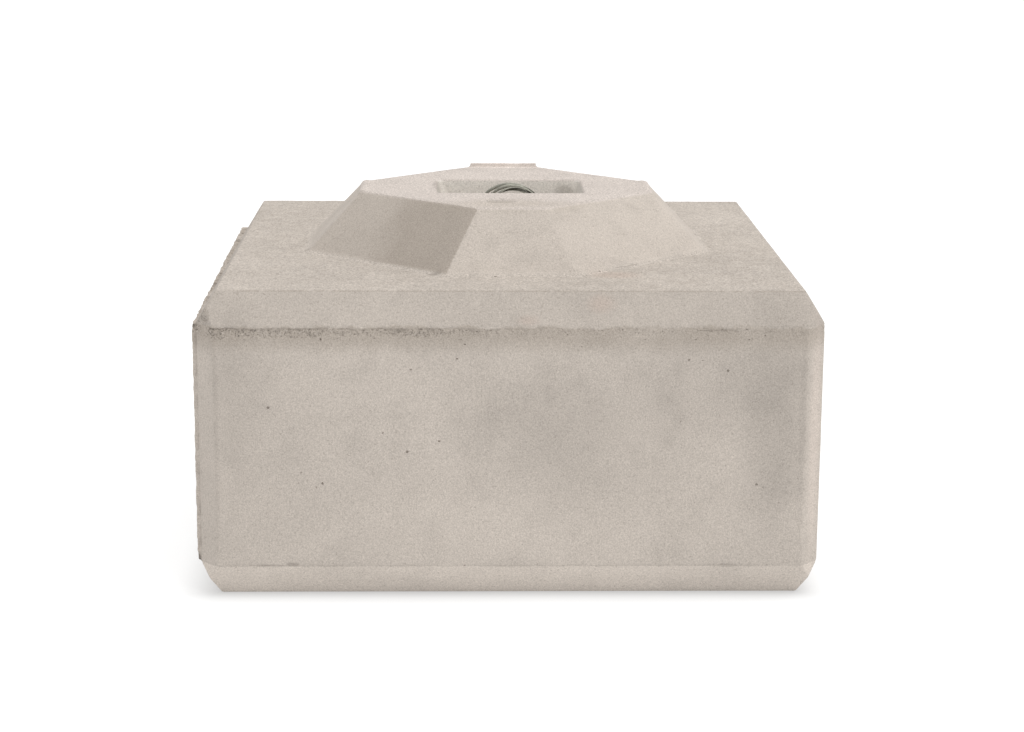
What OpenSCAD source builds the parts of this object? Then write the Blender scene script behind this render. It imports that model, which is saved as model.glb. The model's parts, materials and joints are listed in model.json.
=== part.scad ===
// Interlocking precast concrete block. A flat octagonal stud stands on top of it, with a pocket
// that holds three nested wire-rope lifting loops, and a matching socket is cast into the underside.
// Millimetres, +Z up, origin on the ground under the centre of the stud.

/* [Block] */
// Width of the block along X
block_w = 1200; // [1000:10:1500]
// Depth of the block along Y
block_d = 1200; // [1000:10:1500]
// Height of the block without its stud
block_h = 600; // [480:10:750]
// Horizontal width of the bevel around the top and bottom faces
bevel_inset = 39; // [20:1:60]
// Height of that bevel
bevel_rise = 64; // [30:1:80]
// How far each upright corner is cut back along both sides
corner_cut = 36; // [15:1:60]
// How far the left side stands proud at the front, where its form panel spread
spread_front = 7; // [2:1:12]
// How far the left side stands proud at the back
spread_back = 16; // [2:1:16]

/* [Stud] */
// Height of the stud above the block
stud_h = 118; // [90:2:150]
// From the stud's centre to a short side of its top face
stud_half = 304; // [250:1:370]
// From the stud's centre to a long side of its top face
stud_diagonal = 268; // [222:1:325]
// How far a short side's flank spreads from top to foot
flank_run = 110; // [80:1:135]
// How far a long side's flank spreads from top to foot
diagonal_run = 122; // [90:1:140]
// Width of the trowelled lips along the short sides
lip_w = 14; // [8:1:20]
// Height of the lip along the back side
back_lip_h = 9; // [3:1:12]
// Height of the lips along the left and right sides
side_lip_h = 4; // [2:1:6]

/* [Lifting pocket] */
// Length of the pocket's mouth along X
pocket_w = 308; // [250:2:370]
// Length of the pocket's mouth along Y
pocket_d = 196; // [160:2:240]
// Depth of the pocket
pocket_depth = 110; // [90:1:135]
// How far each pocket wall leans in from mouth to floor
pocket_lean = 38; // [20:1:46]
// How far the pocket and its loops sit to the right of the stud's centre
pocket_shift = 8; // [-10:1:10]

/* [Socket] */
// Free space between a stud's flanks and the socket that drops over it
socket_clearance = 12; // [6:1:20]
// Free height between a stud's top and the socket's ceiling
socket_headroom = 14; // [11:1:25]

/* [Lifting loops] */
// Diameter of the wire rope
rope_d = 8; // [6.5:0.1:9.6]
// Gap between neighbouring ropes where they lie closest
rope_gap = 1; // [0.8:0.1:2]
// Bend radius of the outer loop, at the rope's centre
outer_bend = 78; // [65:1:94]
// How far the centre of each loop moves right of the next larger one
loop_offset = 4.5; // [2:0.5:6]
// How far the outer loop's rope centre stays below the pocket's mouth
top_gap = 3; // [0:1:20]
// How much lower each next loop reaches
top_step = 4; // [2:1:8]
// Lean of the inner loop from upright; negative leans to the front
inner_lean = -3; // [-8:1:-1]
// Lean of the middle loop
middle_lean = 6; // [4:1:8]
// Lean of the outer loop
outer_lean = 15; // [13:1:20]

/* [Anchorage] */
// Depth of the inner loop's tail below the pocket floor
inner_depth = 215; // [170:5:260]
// How much deeper each next tail reaches
depth_step = 25; // [22:1:32]
// Bend radius at a tail's lower corners, at the rope's centre
tail_bend = 26; // [24:1:30]
// Diameter of a pressed ferrule
ferrule_d = 18; // [15:1:22]
// Length of a ferrule
ferrule_l = 40; // [30:1:48]
// Diameter of the anchor bars threaded through the tails
anchor_d = 16; // [12:1:20]
// Length of an anchor bar
anchor_l = 560; // [400:10:800]
// Diameter of the tying wire
tie_d = 1.6; // [1.2:0.1:2.5]

/* [Hidden] */
$fn = 48;
LOOPS = ["outer", "middle", "inner"];

leans = [outer_lean, middle_lean, inner_lean];
rope_r = rope_d / 2;
floor_z = block_h + stud_h - pocket_depth;
bend_step = rope_d + rope_gap + loop_offset;
// Half the length of a short side of the stud's top face
short_side = stud_diagonal * sqrt(2) - stud_half;
// Running gap where a loop turns on the end of its tail
pivot_gap = 0.3;
// Hollow in the concrete around each leg, wide enough for the rope at full lean
dish_r = rope_r * sqrt(2) + 0.6;
// Small space that keeps pieces side by side apart
seat_gap = 0.1;
// Depths of the ties around the tails, as shares of the inner tail's depth
tie_levels = [0.25, 0.6];
// Extra reach of a cut past the face that it opens
over = 20;
// Chamfer on a ferrule's ends
ferrule_chamfer = 3;
concrete_colour = [0.74, 0.71, 0.67];
rope_colour = [0.52, 0.54, 0.50];
ferrule_colour = [0.66, 0.67, 0.68];
bar_colour = [0.42, 0.30, 0.23];
tie_colour = [0.30, 0.29, 0.28];

// Sizes of loop i, counted from the outer one
function bend(i) = outer_bend - i * bend_step;
function centre_x(i) = pocket_shift + i * loop_offset;
function left_x(i) = centre_x(i) - bend(i);
function right_x(i) = centre_x(i) + bend(i);
function leg(i) = pocket_depth - top_gap - i * top_step - bend(i);
function tail_depth(i) = inner_depth + (len(LOOPS) - 1 - i) * depth_step;

// A prism along Y whose half width goes from low_half at the foot to high_half at height h
module tapered_prism(low_half, high_half, h, length) {
    rotate([90, 0, 0])
        linear_extrude(height = length, center = true)
            polygon([[-low_half, 0], [low_half, 0], [high_half, h], [-high_half, h]]);
}

// An eight-sided frustum: "half" is measured to its short sides, "diagonal" to its long ones
module octagon_frustum(half, diagonal, low_half, low_diagonal, h) {
    length = 4 * low_half;
    intersection_for (turn = [0, 45, 90, 135])
        rotate([0, 0, turn])
            tapered_prism(turn % 90 == 0 ? low_half : low_diagonal,
                          turn % 90 == 0 ? half : diagonal, h, length);
}

// Side view of the block, bevelled at the top and the bottom
module bevelled_profile(width) {
    half = width / 2;
    polygon([
        [-half + bevel_inset, 0], [half - bevel_inset, 0],
        [half, bevel_rise], [half, block_h - bevel_rise],
        [half - bevel_inset, block_h], [-half + bevel_inset, block_h],
        [-half, block_h - bevel_rise], [-half, bevel_rise]]);
}

// Plan of the block, with its corners cut back
module cut_corner_plan() {
    x = block_w / 2;
    y = block_d / 2;
    polygon([
        [-x + corner_cut, -y], [x - corner_cut, -y], [x, -y + corner_cut], [x, y - corner_cut],
        [x - corner_cut, y], [-x + corner_cut, y], [-x, y - corner_cut], [-x, -y + corner_cut]]);
}

module plain_block() {
    intersection() {
        linear_extrude(height = block_h) cut_corner_plan();
        rotate([90, 0, 0])
            linear_extrude(height = 2 * block_d, center = true) bevelled_profile(block_w);
        rotate([90, 0, 90])
            linear_extrude(height = 2 * block_w, center = true) bevelled_profile(block_d);
    }
}

// The left side where its form panel spread: a wedge that is thicker at the back
module spread_side() {
    x = -block_w / 2;
    y = block_d / 2 - corner_cut;
    translate([0, 0, bevel_rise])
        linear_extrude(height = block_h - 2 * bevel_rise)
            polygon([[x + over, -y], [x + over, y], [x - spread_back, y], [x - spread_front, -y]]);
}

module stud() {
    translate([0, 0, block_h])
        octagon_frustum(stud_half, stud_diagonal,
                        stud_half + flank_run, stud_diagonal + diagonal_run, stud_h);
}

// A low lip along one short side of the stud's top face, on the right before it is turned
module lip(turn, height) {
    rotate([0, 0, turn])
        translate([stud_half - lip_w, -short_side, block_h + stud_h])
            cube([lip_w, 2 * short_side, height]);
}

module pocket() {
    grow = pocket_lean * over / pocket_depth;
    translate([pocket_shift, 0, floor_z])
        intersection() {
            tapered_prism(pocket_w / 2 - pocket_lean, pocket_w / 2 + grow,
                          pocket_depth + over, 2 * pocket_d);
            rotate([0, 0, 90])
                tapered_prism(pocket_d / 2 - pocket_lean, pocket_d / 2 + grow,
                              pocket_depth + over, 2 * pocket_w);
        }
}

// The stud's own shape with clearance, turned into a hollow from the ground up
module socket() {
    depth = stud_h + socket_headroom;
    octagon_frustum(stud_half + socket_clearance, stud_diagonal + socket_clearance,
                    stud_half + flank_run + socket_clearance,
                    stud_diagonal + diagonal_run + socket_clearance, depth);
}

module leg_dishes() {
    for (i = [0 : len(LOOPS) - 1])
        for (x = [left_x(i), right_x(i)])
            translate([x, 0, floor_z]) sphere(r = dish_r);
}

module concrete_block() {
    color(concrete_colour)
        difference() {
            union() {
                plain_block();
                spread_side();
                stud();
                lip(90, back_lip_h);
                lip(0, side_lip_h);
                lip(180, side_lip_h);
            }
            pocket();
            socket();
            leg_dishes();
            for (i = [0 : len(LOOPS) - 1]) {
                tail_shape(i);
                ferrule_shape(i);
            }
            anchor_bar_shape(-1);
            anchor_bar_shape(1);
            tie_wire_shapes();
        }
}

// Part of a rope ring in the XZ plane, from one angle to the next, counted from +X towards +Z
module rope_curve(radius, from, to) {
    rotate([90, 0, 0])
        rotate([0, 0, from])
            rotate_extrude(angle = to - from)
                translate([radius, 0]) circle(r = rope_r);
}

// The bare part of loop i: two legs and a half ring, turned about the pocket floor
module rope_arch(i) {
    color(rope_colour)
        translate([0, 0, floor_z])
            rotate([-leans[i], 0, 0]) {
                for (x = [left_x(i), right_x(i)])
                    translate([x, 0, 0]) {
                        sphere(r = rope_r);
                        cylinder(r = rope_r, h = leg(i));
                    }
                translate([centre_x(i), 0, leg(i)]) rope_curve(bend(i), 0, 180);
            }
}

// The buried part of loop i: two legs down from the floor, two corners and a level run
module tail_shape(i) {
    start = rope_r + pivot_gap;
    corner = tail_depth(i) - tail_bend;
    translate([0, 0, floor_z]) {
        for (x = [left_x(i), right_x(i)])
            translate([x, 0, -corner]) cylinder(r = rope_r, h = corner - start);
        translate([left_x(i) + tail_bend, 0, -corner]) rope_curve(tail_bend, 180, 270);
        translate([right_x(i) - tail_bend, 0, -corner]) rope_curve(tail_bend, 270, 360);
        translate([left_x(i) + tail_bend, 0, -tail_depth(i)])
            rotate([0, 90, 0]) cylinder(r = rope_r, h = 2 * (bend(i) - tail_bend));
    }
}

module rope_tail(i) {
    color(rope_colour) tail_shape(i);
}

// The ferrule's outside, with the rope still in it
module ferrule_shape(i) {
    half = ferrule_l / 2;
    edge = half - ferrule_chamfer;
    r = ferrule_d / 2;
    translate([centre_x(i), 0, floor_z - tail_depth(i)])
        rotate([0, 90, 0])
            rotate_extrude()
                polygon([[0, -half], [r - ferrule_chamfer, -half], [r, -edge],
                         [r, edge], [r - ferrule_chamfer, half], [0, half]]);
}

module ferrule(i) {
    color(ferrule_colour)
        difference() {
            ferrule_shape(i);
            translate([centre_x(i), 0, floor_z - tail_depth(i)])
                rotate([0, 90, 0]) cylinder(r = rope_r, h = 2 * ferrule_l, center = true);
        }
}

// A bar along Y that lies in a lower corner of the inner tail; side is -1 for left, 1 for right
module anchor_bar_shape(side) {
    i = len(LOOPS) - 1;
    reach = tail_bend - rope_r - anchor_d / 2 - seat_gap;
    x = (side < 0 ? left_x(i) + tail_bend : right_x(i) - tail_bend) + side * reach * sqrt(0.5);
    z = floor_z - tail_depth(i) + tail_bend - reach * sqrt(0.5);
    translate([x, 0, z]) rotate([90, 0, 0]) cylinder(d = anchor_d, h = anchor_l, center = true);
}

module anchor_bar(side) {
    color(bar_colour) anchor_bar_shape(side);
}

// A level ring of wire around the legs between two places on X
module tie_ring(from_x, to_x, z) {
    ring = rope_r + seat_gap + tie_d / 2;
    translate([0, 0, z]) {
        translate([from_x, 0, 0]) rotate([0, 0, 90]) wire_half_ring(ring);
        translate([to_x, 0, 0]) rotate([0, 0, -90]) wire_half_ring(ring);
        for (y = [-ring, ring])
            translate([from_x, y, 0]) rotate([0, 90, 0]) cylinder(d = tie_d, h = to_x - from_x);
    }
}

module wire_half_ring(ring) {
    rotate_extrude(angle = 180) translate([ring, 0]) circle(d = tie_d);
}

module tie_wire_shapes() {
    last = len(LOOPS) - 1;
    for (level = tie_levels) {
        z = floor_z - level * inner_depth;
        tie_ring(left_x(0), left_x(last), z);
        tie_ring(right_x(last), right_x(0), z);
    }
}

module tie_wires() {
    color(tie_colour) tie_wire_shapes();
}

concrete_block();
rope_arch(0);  // rope_arch_outer
rope_arch(1);  // rope_arch_middle
rope_arch(2);  // rope_arch_inner
rope_tail(0);  // rope_tail_outer
rope_tail(1);  // rope_tail_middle
rope_tail(2);  // rope_tail_inner
ferrule(0);  // ferrule_outer
ferrule(1);  // ferrule_middle
ferrule(2);  // ferrule_inner
anchor_bar(-1);  // anchor_bar_left
anchor_bar(1);  // anchor_bar_right
tie_wires();
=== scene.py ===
"""Gives a cast stacking block its looks: sandy concrete, stranded rope loops and the steel cast into it."""

import itertools
import json
import math

import bmesh
import bpy
import numpy as np
from bpy.props import FloatProperty, FloatVectorProperty, IntProperty, PointerProperty
from bpy.types import Operator, Panel, PropertyGroup
from mathutils import Matrix, Vector
from mathutils.bvhtree import BVHTree


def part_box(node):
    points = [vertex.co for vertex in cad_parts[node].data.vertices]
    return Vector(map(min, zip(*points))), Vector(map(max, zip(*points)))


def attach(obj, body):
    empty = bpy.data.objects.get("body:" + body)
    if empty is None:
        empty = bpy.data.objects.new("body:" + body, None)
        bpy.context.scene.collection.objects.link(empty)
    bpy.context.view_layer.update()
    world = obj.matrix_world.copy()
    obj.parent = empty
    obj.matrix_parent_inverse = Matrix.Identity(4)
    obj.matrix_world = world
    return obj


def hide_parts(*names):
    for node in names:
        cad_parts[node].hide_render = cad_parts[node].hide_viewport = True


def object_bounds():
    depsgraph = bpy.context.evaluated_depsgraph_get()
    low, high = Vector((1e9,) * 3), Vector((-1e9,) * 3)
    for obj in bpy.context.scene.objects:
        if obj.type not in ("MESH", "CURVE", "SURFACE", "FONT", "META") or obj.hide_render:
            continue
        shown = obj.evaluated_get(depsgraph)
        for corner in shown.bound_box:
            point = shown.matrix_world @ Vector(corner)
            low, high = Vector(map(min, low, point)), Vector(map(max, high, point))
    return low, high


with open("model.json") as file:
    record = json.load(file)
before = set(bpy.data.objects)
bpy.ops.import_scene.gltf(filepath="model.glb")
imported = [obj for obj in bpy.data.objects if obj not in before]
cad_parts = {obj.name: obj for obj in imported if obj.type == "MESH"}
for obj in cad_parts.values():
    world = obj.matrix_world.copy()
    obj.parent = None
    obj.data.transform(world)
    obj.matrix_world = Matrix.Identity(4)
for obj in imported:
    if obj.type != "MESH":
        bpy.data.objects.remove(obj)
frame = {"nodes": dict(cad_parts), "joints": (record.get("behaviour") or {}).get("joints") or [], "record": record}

bl_info = {
    "name": "Cast stacking block",
    "version": (1, 0, 0),
    "blender": (4, 5, 0),
    "location": "View3D > Sidebar > Block",
    "description": "Builds a cast concrete stacking block and its lifting loops around a fixed frame",
    "category": "Add Mesh",
}

CAD_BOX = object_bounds()
MM = 0.001

# ---- Places that the frame gives, in metres ----

MOUNTS = {mount["name"]: mount for mount in frame["record"]["mounts"]}
JOINTS = {joint["name"]: joint for joint in frame["joints"]}
BLOCK_LOW, BLOCK_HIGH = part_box("concrete_block")
HALF_W = BLOCK_HIGH.x
HALF_D = BLOCK_HIGH.y
SHOULDER_Z = MOUNTS["stacking_face"]["pos_m"][2]
STUD_Z = MOUNTS["stud_top"]["pos_m"][2]
STUD_H = STUD_Z - SHOULDER_Z
FLOOR_Z = JOINTS["loop_lean"]["pos_m"][2]
SPREAD_BACK = -BLOCK_LOW.x - HALF_W
LIP_TOP = BLOCK_HIGH.z

# ---- The casting's form, in metres ----

BEVEL_INSET = 39 * MM
BEVEL_RISE = 64 * MM
CORNER_CUT = 36 * MM
SPREAD_FRONT = 7 * MM
STUD_HALF = 304 * MM
STUD_DIAGONAL = 268 * MM
FLANK_RUN = 110 * MM
DIAGONAL_RUN = 122 * MM
LIP_W = 14 * MM
SIDE_LIP_H = 1.5 * MM
POCKET_X = 8 * MM
POCKET_HALF_W = 154 * MM
POCKET_HALF_D = 98 * MM
POCKET_LEAN = 38 * MM
SOCKET_GAP = 12 * MM
SOCKET_DEPTH = STUD_H + 14 * MM
SEAM_Z = SHOULDER_Z - BEVEL_RISE
SHORT_SIDE = STUD_DIAGONAL * math.sqrt(2) - STUD_HALF
SIDES = ((0, HALF_W), (90, HALF_D), (180, HALF_W), (270, HALF_D))
CORNER_REACH = (HALF_W + HALF_D - CORNER_CUT) / math.sqrt(2)
# How deep a part of the form reaches into its neighbour, so that the two become one
SUNK = 30 * MM

FITTING_STEPS = 3
FITTING_REACH = 3 * MM
# Edges sharper than these angles, in degrees, stay sharp
CONCRETE_SHARP = 38
FERRULE_SHARP = 40
BAR_SHARP = 45

# ---- The rope loops and their anchorage, in metres ----

LOOPS = ("outer", "middle", "inner")
# How far below the pivot a tail stops, in rope radii, so that a leaning leg's end clears it
TAIL_DROP = 1.35
TAIL_BEND = 26 * MM
DISH_R = 6.3 * MM


def loop_facts(name):
    """Where a loop's two legs stand, how deep its tail reaches and how thick its rope is."""
    low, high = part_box("rope_tail_" + name)
    radius = high.y
    return {
        "radius": radius,
        "left": low.x + radius,
        "right": high.x - radius,
        "deep": low.z + radius,
    }


ROPES = {name: loop_facts(name) for name in LOOPS}
ARCH_LEAN = {"outer": 15, "middle": 6, "inner": -3}
# The laid rope springs up a little more than the frame's plain loops
LOOP_RISE = 5 * MM
# How far below its pivot a leg ends, in rope radii
LEG_END = 0.85
# Distance between points along the bare rope, the buried rope and the ties
ARCH_STEP = 1.8 * MM
TAIL_STEP = 3 * MM
TIE_STEP = 0.9 * MM
# About how far a tie's two wires run in one twist
TIE_LAY = 9 * MM
# How fast a strand's wires turn against its own helix
STRAND_TILT = -1.6
# How far a wire stands out of its strand, as a share of the strand's radius
LOBE_HEIGHT = 0.24
# The core is pressed a little into the strands
CORE_SHARE = 1.02
# Points along one rib of an anchor bar
RIB_POINTS = 14
STRAND_TREE = "Laid strands"
RIBBED_TREE = "Ribbed bar"


# ---- Repeatable noise ----

def cell_values(cells, seed):
    """A fixed random value from 0 to 1 for each whole-number cell."""
    x, y, z = (cells[:, axis].astype(np.uint32) for axis in range(3))
    mixed = x * np.uint32(73856093) ^ y * np.uint32(19349663) ^ z * np.uint32(83492791)
    mixed = (mixed ^ np.uint32(seed * 7919 + 17)) * np.uint32(2246822519)
    mixed = (mixed ^ (mixed >> np.uint32(15))) * np.uint32(3266489917)
    mixed = mixed ^ (mixed >> np.uint32(13))
    return (mixed & np.uint32(0xFFFFFF)) / float(0xFFFFFF)


TURNED = np.array(Matrix.Rotation(0.7, 3, Vector((0.3, 0.8, 0.5))))


def noise(points, size, seed):
    """Smooth noise from -1 to 1, with bumps about size across."""
    place = points @ TURNED / size + seed * 3.7
    cell = np.floor(place).astype(np.int64)
    part = place - cell
    part = part * part * (3 - 2 * part)
    total = np.zeros(len(points))
    for corner in itertools.product((0, 1), repeat=3):
        weight = np.prod(np.where(corner, part, 1 - part), axis=1)
        total += weight * cell_values(cell + np.array(corner), seed)
    return 2 * total - 1


def ramp(value, start, end):
    """0 before start, 1 after end, and smooth between them."""
    part = np.clip((value - start) / (end - start), 0, 1)
    return part * part * (3 - 2 * part)


# ---- The form as planes: each is an outward normal and its distance from the origin ----

def level_plane(up, distance):
    return Vector((0, 0, up)), distance


def side_plane(turn, low_half, high_half, low_z, high_z):
    """A side that faces turn degrees from +X, low_half out at low_z and high_half out at high_z."""
    run = low_half - high_half
    slant = math.hypot(run, high_z - low_z)
    flat = (high_z - low_z) / slant
    angle = math.radians(turn)
    normal = Vector((math.cos(angle) * flat, math.sin(angle) * flat, run / slant))
    return normal, low_half * flat + low_z * run / slant


def plane_through(normal, point):
    normal = Vector(normal).normalized()
    return normal, normal.dot(Vector(point))


def body_planes():
    planes = [level_plane(1, SHOULDER_Z), level_plane(-1, 0)]
    for turn, half in SIDES:
        planes.append(side_plane(turn, half, half, 0, SHOULDER_Z))
    return planes


def bevel_planes():
    """The sloping bands above and below the sides, and the cut corners."""
    planes = []
    for turn, half in SIDES:
        planes.append(side_plane(turn, half, half - BEVEL_INSET, SEAM_Z, SHOULDER_Z))
        planes.append(side_plane(turn, half - BEVEL_INSET, half, 0, BEVEL_RISE))
        planes.append(side_plane(turn + 45, CORNER_REACH, CORNER_REACH, 0, SHOULDER_Z))
    return planes


def spread_planes():
    """The wedge on the left side, where the form's panel spread."""
    reach = HALF_D - CORNER_CUT
    front = Vector((-HALF_W - SPREAD_FRONT, -reach, 0))
    slope = (-2 * reach, SPREAD_FRONT - SPREAD_BACK, 0)
    return [
        level_plane(1, SEAM_Z),
        level_plane(-1, -BEVEL_RISE),
        plane_through(slope, front),
        plane_through((1, 0, 0), (SUNK - HALF_W, 0, 0)),
        plane_through((0, -1, 0), (0, -reach, 0)),
        plane_through((0, 1, 0), (0, reach, 0)),
    ]


def octagon_planes(half, diagonal, low_half, low_diagonal, low_z, high_z):
    planes = []
    for turn in range(0, 360, 45):
        straight = turn % 90 == 0
        top = half if straight else diagonal
        foot = low_half if straight else low_diagonal
        planes.append(side_plane(turn, foot, top, low_z, high_z))
    return planes


# The stud's front left flank, which carries painted shade and stands turned by a degree or so: its number
# among the flanks, the way it faces in degrees, and its distance from the middle at its foot and its top
SHADED_FLANK = 5
SHADED_FLANK_TURN = 226.5
SHADED_FLANK_FOOT = 388.5 * MM
SHADED_FLANK_TOP = 263.7 * MM


def stud_planes():
    planes = octagon_planes(STUD_HALF, STUD_DIAGONAL, STUD_HALF + FLANK_RUN,
                            STUD_DIAGONAL + DIAGONAL_RUN, SHOULDER_Z, STUD_Z)
    planes[SHADED_FLANK] = side_plane(SHADED_FLANK_TURN, SHADED_FLANK_FOOT, SHADED_FLANK_TOP, SHOULDER_Z, STUD_Z)
    return planes + [level_plane(1, STUD_Z), level_plane(-1, SUNK - SHOULDER_Z)]


def lip_planes(turn, top):
    """A low lip along one short side of the stud's top face."""
    turned = Matrix.Rotation(math.radians(turn), 3, "Z")
    out = turned @ Vector((1, 0, 0))
    along = turned @ Vector((0, 1, 0))
    return [
        level_plane(1, top),
        level_plane(-1, SUNK - STUD_Z),
        (out, STUD_HALF),
        (-out, LIP_W - STUD_HALF),
        (along, SHORT_SIDE),
        (-along, SHORT_SIDE),
    ]


def pocket_planes(top):
    """The pocket's walls and floor, up to a height above its mouth."""
    depth = STUD_Z - FLOOR_Z
    planes = [level_plane(-1, -FLOOR_Z), level_plane(1, top)]
    for turn, half in ((0, POCKET_HALF_W), (90, POCKET_HALF_D), (180, POCKET_HALF_W), (270, POCKET_HALF_D)):
        normal, distance = side_plane(turn, half - POCKET_LEAN, half, FLOOR_Z, FLOOR_Z + depth)
        planes.append((normal, distance + normal.x * POCKET_X))
    return planes


def socket_planes(bottom):
    planes = octagon_planes(STUD_HALF + SOCKET_GAP, STUD_DIAGONAL + SOCKET_GAP,
                            STUD_HALF + FLANK_RUN + SOCKET_GAP,
                            STUD_DIAGONAL + DIAGONAL_RUN + SOCKET_GAP, 0, SOCKET_DEPTH)
    return planes + [level_plane(1, SOCKET_DEPTH), level_plane(-1, -bottom)]


BODY = body_planes()
BEVELS = bevel_planes()
SPREAD = spread_planes()
STUD = stud_planes()
LIPS = [lip_planes(90, LIP_TOP), lip_planes(0, STUD_Z + SIDE_LIP_H), lip_planes(180, STUD_Z + SIDE_LIP_H)]
LIP_SOFT = (3 * MM, 12 * MM, 12 * MM)
POCKET = pocket_planes(LIP_TOP + SUNK)
SOCKET = socket_planes(-SUNK)


def smooth_max(a, b, soft):
    """The larger of two distances, blended where they are within soft of each other."""
    near = np.maximum(soft - np.abs(a - b), 0) / soft
    return np.maximum(a, b) + near * near * soft / 4


def solid_distance(points, planes, soft, result=None):
    """How far points lie outside a solid bounded by planes, whose edges are softened."""
    for normal, distance in planes:
        away = points @ np.array(normal) - distance
        result = away if result is None else smooth_max(result, away, soft)
    return result


def joined(a, b, soft):
    return -smooth_max(-a, -b, soft)


def casting_distance(points, sizes):
    """How far points lie outside the whole casting."""
    stud = solid_distance(points, STUD, sizes.stud_soft)
    for lip, soft in zip(LIPS, LIP_SOFT):
        stud = joined(stud, solid_distance(points, lip, soft), soft)
    body = solid_distance(points, BODY, sizes.edge_soft)
    body = solid_distance(points, BEVELS, sizes.bevel_soft, body)
    body = joined(body, solid_distance(points, SPREAD, 2 * MM), 1.5 * MM)
    whole = joined(body, stud, sizes.foot_soft)
    whole = smooth_max(whole, -solid_distance(points, POCKET, 14 * MM), 5 * MM)
    return smooth_max(whole, -solid_distance(points, SOCKET, 6 * MM), 6 * MM)


def outward(points, sizes, value):
    """The casting's outward direction at each point."""
    step = 0.3 * MM
    slope = np.empty_like(points)
    for axis in range(3):
        moved = points.copy()
        moved[:, axis] += step
        slope[:, axis] = (casting_distance(moved, sizes) - value) / step
    return slope / np.maximum(np.linalg.norm(slope, axis=1), 1e-6)[:, None]


# ---- Mesh helpers ----

def new_object(name, mesh):
    made = bpy.data.objects.new(name, mesh)
    bpy.context.scene.collection.objects.link(made)
    return made


def mesh_from(name, vertices, edges=(), faces=()):
    mesh = bpy.data.meshes.new(name)
    mesh.from_pydata([tuple(v) for v in vertices], [tuple(e) for e in edges], [tuple(f) for f in faces])
    mesh.update()
    return mesh


def convex_solid(name, planes):
    """A closed solid from the planes that bound it."""
    corners = []
    for trio in itertools.combinations(planes, 3):
        sides = Matrix([normal for normal, distance in trio])
        if abs(sides.determinant()) < 1e-6:
            continue
        corner = sides.inverted() @ Vector([distance for normal, distance in trio])
        if all(normal.dot(corner) <= distance + 1e-7 for normal, distance in planes):
            corners.append(corner)
    shape = bmesh.new()
    for corner in corners:
        shape.verts.new(corner)
    bmesh.ops.remove_doubles(shape, verts=shape.verts, dist=1e-6)
    hull = bmesh.ops.convex_hull(shape, input=shape.verts)
    bmesh.ops.delete(shape, geom=hull["geom_interior"], context="VERTS")
    bmesh.ops.recalc_face_normals(shape, faces=shape.faces)
    mesh = bpy.data.meshes.new(name)
    shape.to_mesh(mesh)
    shape.free()
    return new_object(name, mesh)


def baked(thing):
    """A plain mesh of an object with its modifiers applied."""
    graph = bpy.context.evaluated_depsgraph_get()
    mesh = bpy.data.meshes.new_from_object(thing.evaluated_get(graph))
    mesh.name = thing.name
    return mesh


def apply_all(thing):
    """Makes a plain mesh of an object's modifiers and takes them off."""
    mesh = baked(thing)
    thing.modifiers.clear()
    thing.data = mesh
    return thing


def discard(things):
    for thing in things:
        bpy.data.objects.remove(thing)


def combine(thing, others, operation):
    """Adds other solids to one, or cuts them from it."""
    for other in others:
        cut = thing.modifiers.new("cut", "BOOLEAN")
        cut.operation = operation
        cut.solver = "MANIFOLD"
        cut.object = other
    apply_all(thing)
    discard(others)
    return thing


def coordinates(mesh):
    values = np.empty(len(mesh.vertices) * 3, np.float32)
    mesh.vertices.foreach_get("co", values)
    return values.reshape(-1, 3).astype(float)


def set_coordinates(mesh, points):
    mesh.vertices.foreach_set("co", points.astype(np.float32).ravel())
    mesh.update()


def set_attribute(mesh, name, values):
    made = mesh.attributes.new(name, "FLOAT", "POINT")
    made.data.foreach_set("value", np.asarray(values, np.float32))


def shade(mesh, angle):
    """Smooth shading that keeps edges sharper than an angle."""
    mesh.shade_smooth()
    mesh.set_sharp_from_angle(angle=math.radians(angle))


def tube(shape, path, radius, sides, closed=False):
    """Adds a round tube along a flat path of points to a bmesh."""
    path = [Vector(p) for p in path]
    rings = []
    count = len(path)
    for i, point in enumerate(path):
        before = path[i - 1] if i or closed else point
        after = path[(i + 1) % count] if i + 1 < count or closed else point
        along = (after - before).normalized()
        side = Vector((0, 1, 0)) if abs(along.y) < 0.9 else Vector((0, 0, 1))
        across = along.cross(side).normalized()
        side = across.cross(along)
        ring = []
        for k in range(sides):
            angle = 2 * math.pi * k / sides
            ring.append(shape.verts.new(point + (across * math.cos(angle) + side * math.sin(angle)) * radius))
        rings.append(ring)
    pairs = list(zip(rings, rings[1:]))
    if closed:
        pairs.append((rings[-1], rings[0]))
    for low, high in pairs:
        for k in range(sides):
            n = (k + 1) % sides
            shape.faces.new((low[k], low[n], high[n], high[k]))
    if not closed:
        shape.faces.new(rings[0][::-1])
        shape.faces.new(rings[-1])


def object_from(name, shape):
    bmesh.ops.recalc_face_normals(shape, faces=shape.faces)
    mesh = bpy.data.meshes.new(name)
    shape.to_mesh(mesh)
    shape.free()
    return new_object(name, mesh)


# ---- Paths ----

def arc(centre, radius, start, end, count):
    """Points round an arc in the XZ plane, from one angle in degrees to another."""
    points = []
    for i in range(count + 1):
        angle = math.radians(start + (end - start) * i / count)
        points.append(Vector((centre[0] + radius * math.cos(angle), 0, centre[1] + radius * math.sin(angle))))
    return points


def arch_path(name):
    """The centre line of a loop's bare part, from the left leg over to the right one."""
    rope = ROPES[name]
    bend = (rope["right"] - rope["left"]) / 2
    centre = (rope["right"] + rope["left"]) / 2
    lean = math.radians(ARCH_LEAN[name])
    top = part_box("rope_arch_" + name)[1].z - rope["radius"] - FLOOR_Z + LOOP_RISE
    leg = top / math.cos(lean) - bend
    low = -LEG_END * rope["radius"]
    points = [Vector((rope["left"], 0, low)), Vector((rope["left"], 0, leg / 2))]
    points += arc((centre, leg), bend, 180, 0, 40)
    points += [Vector((rope["right"], 0, leg / 2)), Vector((rope["right"], 0, low))]
    turned = Matrix.Rotation(-lean, 3, "X")
    return [turned @ p + Vector((0, 0, FLOOR_Z)) for p in points]


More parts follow.
